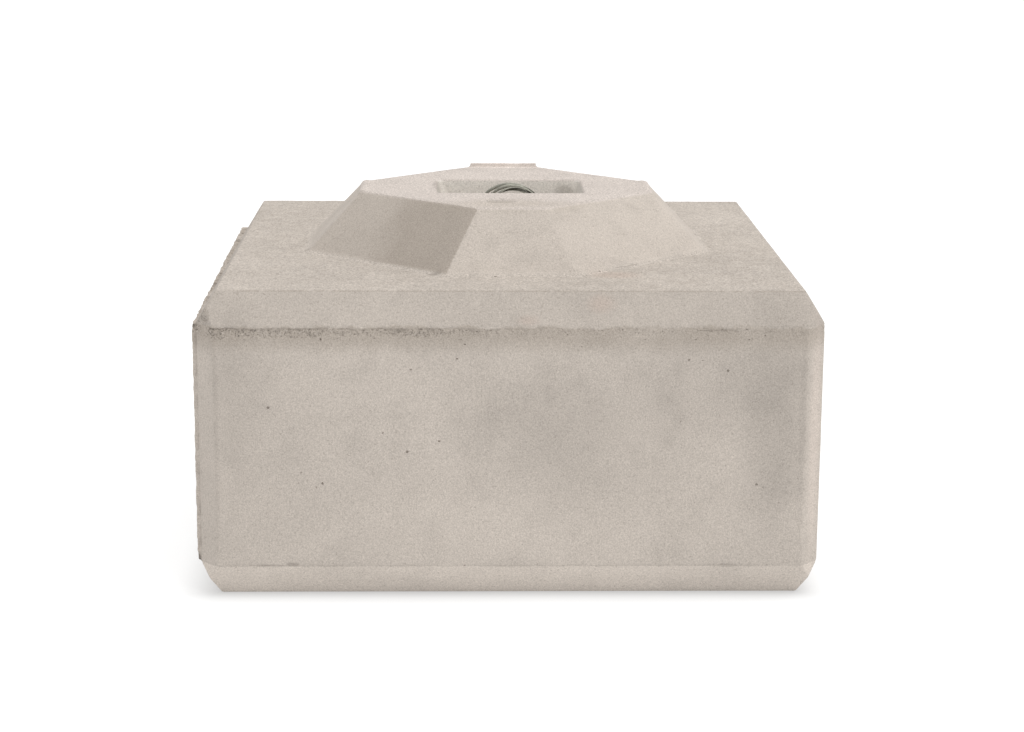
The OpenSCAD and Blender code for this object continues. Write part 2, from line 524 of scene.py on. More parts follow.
def tail_path(name):
    """The centre line of a loop's buried part, down the left leg, along and up the right one."""
    rope = ROPES[name]
    start = FLOOR_Z - TAIL_DROP * rope["radius"]
    corner = rope["deep"] + TAIL_BEND
    points = [Vector((rope["left"], 0, start))]
    points += arc((rope["left"] + TAIL_BEND, corner), TAIL_BEND, 180, 270, 10)
    points += arc((rope["right"] - TAIL_BEND, corner), TAIL_BEND, 270, 360, 10)
    points.append(Vector((rope["right"], 0, start)))
    return points


# ---- Settings ----

def length(name, description, default, low, high, digits=4):
    """A length, given here in millimetres."""
    return FloatProperty(name=name, description=description, default=default * MM, min=low * MM,
                         max=high * MM, unit="LENGTH", precision=digits)


def number(name, description, default, low, high, **extra):
    return FloatProperty(name=name, description=description, default=default, min=low, max=high, **extra)


def count(name, description, default, low, high):
    return IntProperty(name=name, description=description, default=default, min=low, max=high)


def tint(name, description, default):
    return FloatVectorProperty(name=name, description=description, default=default, min=0, max=1,
                               subtype="COLOR")


class ConcreteSettings(PropertyGroup):
    cell: length("Cell", "Size of the first mesh's cells", 4, 2, 20)
    triangles: count("Triangles", "Triangles left before the holes are cut", 120000, 20000, 160000)
    edge_soft: length("Edge softness", "Width over which the block's edges are rounded", 7, 2, 30)
    bevel_soft: length("Bevel softness", "Width over which the edges of the bevels are rounded", 2.6, 1, 20)
    stud_soft: length("Stud softness", "Width over which the stud's edges are rounded", 5.5, 2, 30)
    foot_soft: length("Foot softness", "Width of the hollow where the stud meets the block", 9, 2, 60)
    waviness: length("Waviness", "Height of the long waves in the faces", 0.8, 0, 3, digits=5)
    seam_depth: length("Seam depth", "Depth of the rough band where the form's joint leaked", 2.8, 0, 8)
    holes: count("Air holes", "Number of small holes left by air against the form", 170, 0, 600)
    seed: count("Seed", "Changes everything random in the concrete", 7, 0, 99)
    colour: tint("Colour", "Colour of dry concrete", (0.462, 0.415, 0.370))
    # This colour also serves for painted shade on the front left flank and in the hollows
    stain_and_shade: tint("Stain", "Colour of the darker stains and of the seam", (0.26, 0.225, 0.19))


class RopeSettings(PropertyGroup):
    strands: count("Strands", "Strands round the core", 6, 3, 8)
    wires: count("Wires", "Wires that show round one strand", 6, 4, 10)
    lay: length("Lay length", "Length in which a strand goes once round the rope", 84, 30, 90)
    colour: tint("Colour", "Colour of the dulled zinc", (0.335, 0.33, 0.285))
    grime: tint("Grime", "Colour of the dirt between the wires", (0.075, 0.071, 0.056))


class SteelSettings(PropertyGroup):
    rib_pitch: length("Rib pitch", "Distance between ribs on the anchor bars", 10, 5, 20)
    rib_height: length("Rib height", "Height of the ribs", 1.1, 0.4, 2, digits=5)
    bar: tint("Bar colour", "Colour of mill scale on the bars", (0.105, 0.082, 0.072))
    rust: tint("Rust colour", "Colour of the rust bloom", (0.26, 0.10, 0.042))
    ferrule: tint("Ferrule colour", "Colour of the pressed aluminium", (0.60, 0.61, 0.62))


class StageSettings(PropertyGroup):
    key: number("Key light", "Strength of the soft key light", 1.7, 0, 10)
    fill: number("Fill light", "Brightness of the room", 0.95, 0, 3)
    glow: number("Table glow", "Light that the white table gives from inside", 0.75, 0, 2)
    lens: number("Lens", "Focal length of the camera", 80.58, 20, 200, subtype="DISTANCE_CAMERA")


class BlockSettings(PropertyGroup):
    concrete: PointerProperty(type=ConcreteSettings)
    rope: PointerProperty(type=RopeSettings)
    steel: PointerProperty(type=SteelSettings)
    stage: PointerProperty(type=StageSettings)


# ---- Node trees ----

class Value:
    """A node's output, which can be reckoned with like a number."""

    def __init__(self, web, socket):
        self.web = web
        self.socket = socket

    def __add__(self, other):
        return self.web.reckon("ADD", self, other)

    def __sub__(self, other):
        return self.web.reckon("SUBTRACT", self, other)

    def __mul__(self, other):
        return self.web.reckon("MULTIPLY", self, other)

    def __truediv__(self, other):
        return self.web.reckon("DIVIDE", self, other)

    def __pow__(self, other):
        return self.web.reckon("POWER", self, other)

    def __abs__(self):
        return self.web.reckon("ABSOLUTE", self)

    def spread(self, low, high, to_low=0.0, to_high=1.0, curve="SMOOTHSTEP"):
        """to_low where the value is low, to_high where it is high, and a run between them."""
        ends = {"Value": self, "From Min": low, "From Max": high, "To Min": to_low, "To Max": to_high}
        return self.web.out("ShaderNodeMapRange", ends, "Result", interpolation_type=curve)


class Web:
    """A node tree, woven with short calls."""

    def __init__(self, tree):
        self.tree = tree

    def give(self, socket, value):
        """Sets an input, or links another node's output to it."""
        if isinstance(value, Value):
            self.tree.links.new(value.socket, socket)
        else:
            socket.default_value = value

    def add(self, kind, inputs=None, **settings):
        made = self.tree.nodes.new(kind)
        for name, value in settings.items():
            setattr(made, name, value)
        for socket, value in (inputs or {}).items():
            self.give(made.inputs[socket], value)
        return made

    def out(self, kind, inputs=None, output=0, **settings):
        """Adds a node and returns one of its outputs."""
        return Value(self, self.add(kind, inputs, **settings).outputs[output])

    def reckon(self, operation, a, b=0.0, clamp=False):
        return self.out("ShaderNodeMath", {0: a, 1: b}, operation=operation, use_clamp=clamp)

    def vectors(self, operation, a, b=None, output=0):
        inputs = {0: a} if b is None else {0: a, 1: b}
        return self.out("ShaderNodeVectorMath", inputs, output, operation=operation)

    def scaled(self, vector, factor):
        return self.out("ShaderNodeVectorMath", {0: vector, "Scale": factor}, operation="SCALE")

    def mixed(self, factor, a, b, blend="MIX"):
        return self.out("ShaderNodeMix", {0: factor, 6: a, 7: b}, 2, data_type="RGBA", blend_type=blend)

    def axes(self, vector):
        """A vector's X, Y and Z."""
        split = self.add("ShaderNodeSeparateXYZ", {0: vector})
        return [Value(self, socket) for socket in split.outputs]


class Paint(Web):
    """A new material: its tree, its shader, the piece's own coordinates and the colour laid so far."""

    def __init__(self, name):
        self.material = bpy.data.materials.new(name)
        self.material.use_nodes = True
        super().__init__(self.material.node_tree)
        self.shader = self.tree.nodes["Principled BSDF"].inputs
        self.place = self.out("ShaderNodeTexCoord", output="Object")
        self.base = None

    def noise(self, scale, detail=3.0, roughness=0.55, shift=0.0, place=None):
        """Noise about 0.5 from the piece's own coordinates, with scale in cells to a metre."""
        moved = self.vectors("ADD", place or self.place, (shift, -shift, shift * 0.7))
        inputs = {"Vector": moved, "Scale": scale, "Detail": detail, "Roughness": roughness}
        return self.out("ShaderNodeTexNoise", inputs, "Fac")

    def attribute(self, name):
        return self.out("ShaderNodeAttribute", output="Fac", attribute_name=name)

    def lay(self, factor, layer, blend="MIX"):
        """Lays a colour over the colour so far."""
        self.base = self.mixed(factor, self.base, layer, blend)

    def grey(self, factor, value):
        """Darkens and lightens the colour so far."""
        self.lay(factor, self.out("ShaderNodeCombineColor", {0: value, 1: value, 2: value}), "MULTIPLY")

    def shade(self, **inputs):
        """Sets the shader's inputs by name and returns the material."""
        for name, value in inputs.items():
            self.give(self.shader[name.replace("_", " ")], value)
        return self.material

    def finish(self, roughness, strength, distance, height, **others):
        """Gives the shader the colour so far, a roughness, bumps and anything else."""
        bump = self.out("ShaderNodeBump", {"Strength": strength, "Distance": distance, "Height": height})
        return self.shade(Base_Color=self.base, Roughness=roughness, Normal=bump, **others)


def colour(values, scale=1.0):
    return (values[0] * scale, values[1] * scale, values[2] * scale, 1.0)


def even(tone):
    return (tone, tone, tone)


# ---- Materials ----

# Soft clouds of tone in the concrete, a few of them painted light: centre, reach along X, Y and Z, and what they
# do to red, green and blue
CLOUDS = (
    ((0.06, -HALF_D, 0.34), (0.17, 0.1, 0.14), even(0.90)),
    ((0.50, -HALF_D, 0.36), (0.075, 0.1, 0.26), even(0.84)),
    ((0.36, -HALF_D, 0.42), (0.16, 0.1, 0.13), even(0.93)),
    ((-0.52, -HALF_D, 0.40), (0.05, 0.1, 0.22), even(0.94)),
    # Painted light from the table on the front's lower part
    ((-0.10, -HALF_D, 0.13), (0.50, 0.1, 0.10), even(1.05)),
    ((-0.561, -HALF_D, 0.33), (0.006, 0.04, 0.22), even(0.90)),
    ((0.557, -HALF_D, 0.35), (0.008, 0.04, 0.24), even(0.92)),
    # Painted light on the right front corner, which faces the key
    ((0.585, -0.580, 0.32), (0.02, 0.02, 0.26), (1.14, 1.12, 1.12)),
    ((0.00, -0.25, STUD_Z), (0.17, 0.07, 0.02), (0.91, 0.90, 0.87)),
    ((0.00, 0.288, LIP_TOP), (0.14, 0.012, 0.02), even(1.30)),
    # Painted light on the pocket's right end wall, which lies in shade
    ((0.158, 0.00, 0.68), (0.028, 0.12, 0.03), even(1.12)),
    ((0.24, -0.36, SHOULDER_Z), (0.14, 0.06, 0.05), even(0.94)),
    ((0.48, 0.25, SHOULDER_Z), (0.12, 0.30, 0.04), even(1.08)),
    ((0.21, -0.40, SHOULDER_Z), (0.055, 0.04, 0.03), (1.02, 0.965, 0.945)),
    ((0.17, -0.58, 0.578), (0.03, 0.03, 0.02), (1.01, 0.965, 0.95)),
    ((0.03, -0.60, 0.548), (0.025, 0.03, 0.012), (1.01, 0.965, 0.95)),
)
# Painted light and shade by height: the lower bevel lightened as painted light from the table, the upper bevel and
# the block's top darkened, the stud's flanks a little darker and its top lighter and cooler; from, to, and what
# they do to red, green and blue
LIGHT_BANDS = (
    (-10 * MM, BEVEL_RISE, even(1.20)),
    (SEAM_Z, SHOULDER_Z - 2 * MM, even(0.875)),
    (SHOULDER_Z - 2 * MM, SHOULDER_Z + 4 * MM, even(0.905)),
    (SHOULDER_Z + 4 * MM, STUD_Z - 5 * MM, even(0.97)),
    (STUD_Z - 4 * MM, STUD_Z + 30 * MM, (1.04, 1.04, 1.07)),
)
# Painted light on the pocket's walls, which lie in shade: what it does to red, green and blue
POCKET_LIGHT = (1.21, 1.26, 1.29)


def paint_tones_and_light(paint, sizes, blot):
    """Clouds of tone with some painted light, painted light and shade by height, and painted light inside the
    pocket.
    """
    x, y, z = paint.axes(paint.place)
    dry = sizes.colour
    paint.base = paint.mixed(blot(4.0, 0.3, 0.7, 1.3), colour(dry, 0.96), colour(dry, 1.05))
    paint.lay(blot(14.0, 0.45, 0.8, 7.1) * 0.5, colour(dry, 0.84))
    paint.lay(blot(45.0, 0.5, 0.85, 3.9) * 0.35, colour(dry, 1.14))
    ruffle = paint.noise(11.0, 3.0, 0.6, 6.0) * 0.7
    for centre, reach, layer in CLOUDS:
        away = paint.vectors("DIVIDE", paint.vectors("SUBTRACT", paint.place, centre), reach)
        away = paint.vectors("LENGTH", away, output="Value") + ruffle
        paint.lay(away.spread(0.6, 1.6, 1.0, 0.0), colour(layer), "MULTIPLY")
    for low, high, layer in LIGHT_BANDS:
        level = z.spread(low - 1 * MM, low + 1 * MM) * z.spread(high - 1 * MM, high + 1 * MM, 1.0, 0.0)
        paint.lay(level, colour(layer), "MULTIPLY")

    # Painted light inside the pocket, lifting its shaded walls
    inside = abs(y).spread(POCKET_HALF_D - 2 * MM, POCKET_HALF_D + 1 * MM, 1.0, 0.0)
    for value, end in ((abs(x - POCKET_X), POCKET_HALF_W), (z, STUD_Z - 2 * MM)):
        inside *= value.spread(end - 2 * MM, end + 1 * MM, 1.0, 0.0)
    inside *= z.spread(FLOOR_Z - 4 * MM, FLOOR_Z - 1 * MM)
    paint.lay(inside, colour(POCKET_LIGHT), "MULTIPLY")


def paint_stains_and_shade(paint, sizes, blot):
    """The shoulder's broken dark edge, painted shade on the front left flank and in the hollows, and the leaked
    seam with painted shade below the bevel.
    """
    x, y, z = paint.axes(paint.place)
    stain_and_shade = sizes.stain_and_shade
    line = z.spread(SHOULDER_Z - 4.5 * MM, SHOULDER_Z - 2.5 * MM)
    line *= z.spread(SHOULDER_Z - 1.5 * MM, SHOULDER_Z, 1.0, 0.0)
    paint.lay(line * blot(38.0, 0.32, 0.55, 4.7, 4.0) * 0.42, colour(stain_and_shade))

    # Painted shade on the stud's front left flank, fading out to its left
    normal, distance = STUD[SHADED_FLANK]
    off = abs(paint.vectors("DOT_PRODUCT", paint.place, tuple(normal), "Value") - distance)
    flank = off.spread(1.6 * MM, 2.8 * MM, 1.0, 0.0)
    flank *= z.spread(SHOULDER_Z + 1 * MM, SHOULDER_Z + 6 * MM)
    cloud = (paint.noise(9.0, 3.0, 0.6, 2.0) - 0.5) * 0.30
    flank *= (x - y + cloud).spread(-0.12, 0.05, 0.42, 1.0)
    paint.lay(flank * 0.66, colour(stain_and_shade, 1.05))

    # Darker, browner and patchy below the bevel: partly the leaked seam's colour, partly painted shade under the
    # bevel's edge; with dark and pale crumbs
    height = z + (paint.noise(26.0, 5.0, 0.65, 5.0) - 0.5) * (26 * MM)
    seam = height.spread(SEAM_Z - 3 * MM, SEAM_Z + 3 * MM, 1.0, 0.0)
    seam *= height.spread(SEAM_Z - 60 * MM, SEAM_Z - 20 * MM)
    seam *= blot(10.0, 0.05, 0.55, 9.0)
    seam *= x.spread(-0.20, 0.10, 0.58, 0.56)
    paint.lay(seam, colour(stain_and_shade, 1.2))
    crumbly = paint.attribute("seam")
    paint.lay(crumbly * 0.30, colour(stain_and_shade, 1.3))
    paint.lay(crumbly * blot(300.0, 0.53, 0.62, 2.6, 2.0) * 0.85, colour(stain_and_shade, 0.42))
    paint.lay(crumbly * blot(260.0, 0.56, 0.66, 6.6, 2.0) * 0.6, colour(sizes.colour, 1.15))

    # Painted shade in the hollows: darker with the depth of pits, grooves, torn edges and honeycomb, and at the
    # joint lines and the dents' marks
    depth = paint.reckon("MULTIPLY", paint.attribute("hollow"), 0.8, clamp=True)
    paint.lay(depth, colour(stain_and_shade, 0.5))


def concrete_material(sizes):
    paint = Paint("sandy_concrete")

    def blot(scale, low, high, shift, detail=3.0):
        return paint.noise(scale, detail, 0.55, shift).spread(low, high)

    paint_tones_and_light(paint, sizes, blot)
    paint_stains_and_shade(paint, sizes, blot)

    # Sand
    grain = paint.noise(330.0, 2.0, 0.75, 0.4)
    fine = paint.noise(800.0, 1.0, 0.5, 1.9)
    sand = grain * 0.6 + fine * 0.4
    paint.grey(1.0, sand.spread(0.3, 0.7, 0.72, 1.28, "LINEAR"))

    # The level faces dried with a coarser, more open grain
    facing = paint.axes(paint.out("ShaderNodeTexCoord", output="Normal"))[2]
    open_grain = paint.noise(250.0, 2.0, 0.8, 5.5).spread(0.32, 0.68, 0.76, 1.24)
    paint.grey(facing.spread(0.8, 0.95), open_grain)
    speck = paint.noise(240.0, 0.0, 0.5, 8.2).spread(0.70, 0.78)
    paint.lay(speck * 0.3, colour(sizes.stain_and_shade, 0.8))

    height = paint.noise(90.0, 4.0, 0.6, 4.4) * (1.2 * MM) + sand * (0.9 * MM)
    return paint.finish(grain.spread(0.3, 0.7, 0.82, 0.95), 0.7, 1.0, height, Specular_IOR_Level=0.28)


def wire_material(rope):
    paint = Paint("dull_zinc_wire")
    worn = paint.attribute("depth").spread(0.62, 0.97)
    patch = paint.noise(70.0, 4.0, 0.6).spread(0.35, 0.65)
    zinc = paint.mixed(patch, colour(rope.colour, 0.8), colour(rope.colour, 1.12))
    paint.base = paint.mixed(worn, colour(rope.grime), zinc)
    spots = paint.noise(300.0, 2.0, 0.5, 3.0).spread(0.62, 0.72, 0.0, 0.5)
    paint.lay(spots, colour(rope.grime, 2.5))
    rough = patch.spread(0.0, 1.0, 0.42, 0.62)
    return paint.finish(rough, 0.4, 0.2 * MM, paint.noise(1500.0, 2.0), Metallic=0.5)


def rusty_material(name, scale_colour, rust_colour, rust_share):
    """Dark mill scale with a bloom of rust over part of it."""
    paint = Paint(name)
    rust = paint.noise(60.0, 5.0, 0.65).spread(0.62 - 0.3 * rust_share, 0.72 - 0.2 * rust_share)
    flakes = paint.noise(420.0, 3.0, 0.6, 2.2)
    paint.base = paint.mixed(flakes, colour(scale_colour, 0.7), colour(scale_colour, 1.35))
    paint.lay(rust, paint.mixed(flakes, colour(rust_colour, 0.6), colour(rust_colour, 1.3)))
    metal = rust.spread(0.0, 1.0, 0.7, 0.05)
    height = rust * 0.5 + flakes
    return paint.finish(rust.spread(0.0, 1.0, 0.5, 0.92), 0.6, 0.3 * MM, height, Metallic=metal)


def ferrule_material(steel):
    paint = Paint("pressed_aluminium")
    smear = paint.out("ShaderNodeMapping", {"Vector": paint.place, "Scale": (60.0, 900.0, 900.0)})
    drawn = paint.noise(1.0, 3.0, 0.6, place=smear)
    cloudy = paint.noise(120.0, 4.0, 0.6, 1.0).spread(0.4, 0.7)
    paint.base = paint.mixed(drawn, colour(steel.ferrule, 0.82), colour(steel.ferrule, 1.08))
    paint.lay(cloudy * 0.5, colour(steel.ferrule, 0.55))
    return paint.finish(cloudy.spread(0.0, 1.0, 0.34, 0.6), 0.3, 0.1 * MM, drawn, Metallic=0.9)


# ---- Concrete ----

# Air holes in the front face that are large enough to notice: across, up and radius
FRONT_HOLES = (
    (-0.103, 0.475, 2.4),
    (-0.198, 0.293, 3.0),
    (-0.137, 0.314, 2.6),
    (0.337, 0.473, 2.4),
    (0.412, 0.452, 2.8),
)
# Holes with a radius above this are rounder
LARGE_HOLE = 2.4 * MM
# How deep a hole's centre lies, as a share of its radius, and how much room it keeps round it
HOLE_SINK = 0.25
HOLE_ROOM = 1.15
CRACK_R = 0.9 * MM
CRACK_STEPS = 8
# Shrinkage cracks: each is a run of points along the surface
CRACKS = (
    ((0.215, -0.336, 0.602), (0.232, -0.320, 0.602), (0.262, -0.290, 0.602)),
    ((0.352, -0.600, 0.529), (0.385, -0.600, 0.531), (0.416, -0.600, 0.530), (0.430, -0.600, 0.526)),
)
# Dents and marks: centre, reach along X, Y and Z, depth in millimetres, and how dark they are
DENTS = (
    ((-0.016, -0.205, STUD_Z), (0.036, 0.034, 0.02), 3.6, 0.30),
    ((-0.420, -HALF_D, 0.067), (0.017, 0.02, 0.005), 1.2, 0.45),
    ((-0.475, -HALF_D, 0.066), (0.030, 0.02, 0.003), 0.8, 0.45),
    ((0.419, -HALF_D, 0.064), (0.022, 0.02, 0.004), 1.0, 0.32),
    ((0.390, -HALF_D, 0.5305), (0.040, 0.02, 0.0035), 0.8, 0.65),
    ((-0.415, -0.132, SHOULDER_Z + 3 * MM), (0.007, 0.009, 0.007), 1.2, 0.45),
    ((-0.150, -0.400, SHOULDER_Z + 4 * MM), (0.018, 0.010, 0.006), 1.0, 0.50),
    ((0.412, 0.064, SHOULDER_Z + 2 * MM), (0.008, 0.010, 0.008), 1.2, 0.45),
    # Painted shade, partly dirt: the pocket's far right corner darkened
    ((0.128, 0.085, 0.688), (0.024, 0.016, 0.026), 0.5, 0.48),
    ((-0.605, 0.377, SEAM_Z), (0.010, 0.020, 0.008), 1.0, 0.50),
    ((-0.607, 0.240, SEAM_Z), (0.008, 0.014, 0.008), 0.8, 0.42),
    ((-0.603, -0.058, SEAM_Z), (0.007, 0.012, 0.007), 0.8, 0.40),
    ((-0.605, -0.156, SEAM_Z), (0.009, 0.013, 0.008), 1.0, 0.48),
    ((-0.603, -0.300, SEAM_Z), (0.007, 0.011, 0.007), 0.8, 0.42),
    # Painted shade, partly dirt: the pocket's left end wall and far left corner darkened
    ((-0.146, 0.020, 0.69), (0.016, 0.09, 0.05), 0.5, 0.34),
)


def seam_strength(points):
    """How badly the form's joint leaked, from 0 to 1: worst on the left of the front."""
    x, y = points[:, 0], points[:, 1]
    patchy = 0.5 + 0.5 * noise(points * np.array((1, 1, 0.2)), 0.16, 31)
    front = ramp(-y, 0.52, 0.58)
    along = 1 - 0.40 * ramp(x, -0.42, -0.30) - 0.25 * ramp(x, -0.16, 0.05)
    return np.clip((front * along + (1 - front) * 0.35) * (0.55 + 0.6 * patchy), 0, 1)


def casting_detail(points, sizes):
    """How far the casting's skin lies above its form, how deep its hollows are (painted as shade by the material)
    and how crumbly it is.
    """
    x, y, z = points.T
    seed = sizes.seed
    waves = 0.65 * noise(points, 0.30, seed) + 0.35 * noise(points, 0.10, seed + 1) - 1
    skin = sizes.waviness * waves / 2
    skin += 0.22 * MM * noise(points, 0.034, seed + 2) + 0.12 * MM * noise(points, 0.013, seed + 3) - 0.2 * MM

    # The leaked joint of the form: a line, and crumbs of mortar below it
    strength = seam_strength(points)
    flat = points * np.array((1, 1, 0.35))
    drift = 2.8 * MM * noise(flat, 0.055, seed + 4) + 2.2 * MM * noise(flat, 0.016, seed + 5)
    below = SEAM_Z - 2.5 * MM + drift - z
    width = (6 + 9 * strength) * MM + 4 * MM * noise(flat, 0.05, seed + 6)
    band = ramp(below, 0, 2 * MM) * (1 - ramp(below, width, width + 7 * MM))
    side = np.maximum(ramp(np.abs(y), HALF_D - 20 * MM, HALF_D - 4 * MM),
                      ramp(np.abs(x), HALF_W - 20 * MM, HALF_W - 4 * MM))
    band *= side * strength
    corner = ((x + HALF_W - 14 * MM) / (17 * MM)) ** 2 + ((z - SEAM_Z - 18 * MM) / (20 * MM)) ** 2
    corner = 0.75 * (1 - ramp(corner, 0.3, 1.2)) * ramp(-y, HALF_D - 60 * MM, HALF_D - 30 * MM)
    band = np.maximum(band, corner)
    crumbs = 0.42 + 0.55 * noise(points, 0.0052, seed + 7) + 0.25 * noise(points, 0.012, seed + 8)
    crumbs += 0.35 * noise(points, 0.0036, seed + 13)
    crumbs = np.clip(crumbs, 0, 1)
    groove = side * (0.3 + 0.7 * strength) * np.exp(-((below - 1.2 * MM) / (1.9 * MM)) ** 2)
    seam = sizes.seam_depth * (band * crumbs + 0.5 * groove)
    skin -= seam

    # A fainter joint above the lower bevel
    foot_line = np.exp(-((z - BEVEL_RISE - 1 * MM * noise(flat, 0.05, seed + 14)) / (1.8 * MM)) ** 2)
    foot_line *= side * (0.25 + 0.3 * noise(flat, 0.07, seed + 15))
    skin -= np.maximum(foot_line, 0) * 1.2 * MM

    # The spread side's raw edges, and the line where it starts
    outside = ramp(-x, HALF_W - 2 * MM, HALF_W + 2 * MM)
    high_edge = ramp(z, SEAM_Z - 20 * MM, SEAM_Z - 4 * MM)
    low_edge = 1 - ramp(z, BEVEL_RISE, BEVEL_RISE + 26 * MM)
    end_edge = ramp(np.abs(y), HALF_D - CORNER_CUT - 14 * MM, HALF_D - CORNER_CUT - 3 * MM)
    raw = outside * np.clip(0.7 * high_edge + 0.45 * end_edge + 0.5 * low_edge, 0, 1)
    chipped = 0.42 + 0.9 * noise(points, 0.014, seed + 9) + 0.6 * noise(points, 0.006, seed + 10)
    chipped = np.clip(chipped, 0, 1)
    torn = raw * chipped * 3.0 * MM + outside * low_edge * 3.5 * MM
    skin -= torn
    start = np.hypot(x + HALF_W, (np.abs(y) - HALF_D + CORNER_CUT) * 0.7)
    start = np.exp(-(start / (2.2 * MM)) ** 2) * ramp(z, BEVEL_RISE, 0.1)
    start *= 1 - ramp(z, SEAM_Z, SEAM_Z + 6 * MM)
    start *= np.clip(0.45 + 0.9 * noise(points, 0.011, seed + 16), 0, 1)
    skin -= start * 1.2 * MM

    # Trowelled lips on the stud
    lip = ramp(z, STUD_Z + 0.5 * MM, STUD_Z + 2.5 * MM)
    lip *= ramp(np.maximum(np.abs(x), y), STUD_HALF - LIP_W - 8 * MM, STUD_HALF - LIP_W)
    ragged = lip * (0.8 + 1.0 * noise(points, 0.02, seed + 11) + 0.5 * noise(points, 0.008, seed + 12)) * MM
    skin -= np.maximum(ragged, 0)

    marks = np.zeros(len(points))
    for centre, reach, depth, dark in DENTS:
        off = (((points - np.array(centre)) / np.array(reach)) ** 2).sum(axis=1)
        dent = 1 - ramp(off, 0.35, 1.1)
        skin -= dent * depth * MM
        marks = np.maximum(marks, dent * dark)

    # The ground face and the socket stay close to their form
    skin *= 1 - 0.7 * (1 - ramp(z, 0, 30 * MM))
    # How deep the hollows are, which the material turns into painted shade
    hollow = 0.62 * np.clip((seam - 0.8 * MM) / (1.6 * MM), 0, 1) + 0.05 * groove
    hollow += np.clip((torn - 1.3 * MM) / (2.4 * MM), 0, 1) * 0.7
    hollow = np.maximum(hollow + 0.4 * start + np.maximum(foot_line, 0) * 0.5, marks)
    return skin, np.clip(hollow, 0, 1), band


def plain_casting(cell):
    """The casting as an even mesh of small squares."""
    solid = convex_solid("concrete_block_looks", BODY + BEVELS)
    others = [convex_solid("spread", SPREAD), convex_solid("stud", STUD)]
    others += [convex_solid("lip", planes) for planes in LIPS]
    combine(solid, others, "UNION")
    combine(solid, [convex_solid("pocket", POCKET), convex_solid("socket", SOCKET)], "DIFFERENCE")
    remesh = solid.modifiers.new("squares", "REMESH")
    remesh.mode = "VOXEL"
    remesh.voxel_size = cell
    apply_all(solid)
    shape = bmesh.new()
    shape.from_mesh(solid.data)
    rough = [edge for edge in shape.edges if is_rough(edge.verts[0].co)]
    bmesh.ops.subdivide_edges(shape, edges=rough, cuts=1, use_grid_fill=True)
    shape.to_mesh(solid.data)
    shape.free()
    return solid


def is_rough(place):
    """Whether a place lies where the skin is rough enough to need smaller squares."""
    seam = SEAM_Z - 46 * MM < place.z < SEAM_Z + 8 * MM
    front = place.y < 6 * MM - HALF_D and place.x < 0.1
    spread_side = place.x < 2 * MM - HALF_W
    return (seam and (front or spread_side)) or (spread_side and place.y < 40 * MM - HALF_D)


def shape_casting(solid, sizes):
    """Moves an even mesh on to the softened form and gives it its skin."""
    points = coordinates(solid.data)
    for _ in range(FITTING_STEPS):
        value = casting_distance(points, sizes)
        away = outward(points, sizes, value)
        points -= away * np.clip(value, -FITTING_REACH, FITTING_REACH)[:, None]
    skin, hollow, seam = casting_detail(points, sizes)
    points += away * skin[:, None]
    set_coordinates(solid.data, points)
    set_attribute(solid.data, "hollow", hollow)
    set_attribute(solid.data, "seam", seam)


def keep_in_box(mesh):
    points = np.clip(coordinates(mesh), np.array(CAD_BOX[0]), np.array(CAD_BOX[1]))
    set_coordinates(mesh, points)


def thin_out(solid, triangles):
    solid.data.calc_loop_triangles()
    now = len(solid.data.loop_triangles)
    fewer = solid.modifiers.new("fewer", "DECIMATE")
    fewer.ratio = min(1.0, triangles / now)
    fewer.use_collapse_triangulate = True
    apply_all(solid)
    keep_in_box(solid.data)
    return solid


def surface_tree(solid):
    mesh = solid.data
    mesh.calc_loop_triangles()
    corners = [vertex.co for vertex in mesh.vertices]
    triangles = [tuple(t.vertices) for t in mesh.loop_triangles]
    return BVHTree.FromPolygons(corners, triangles)


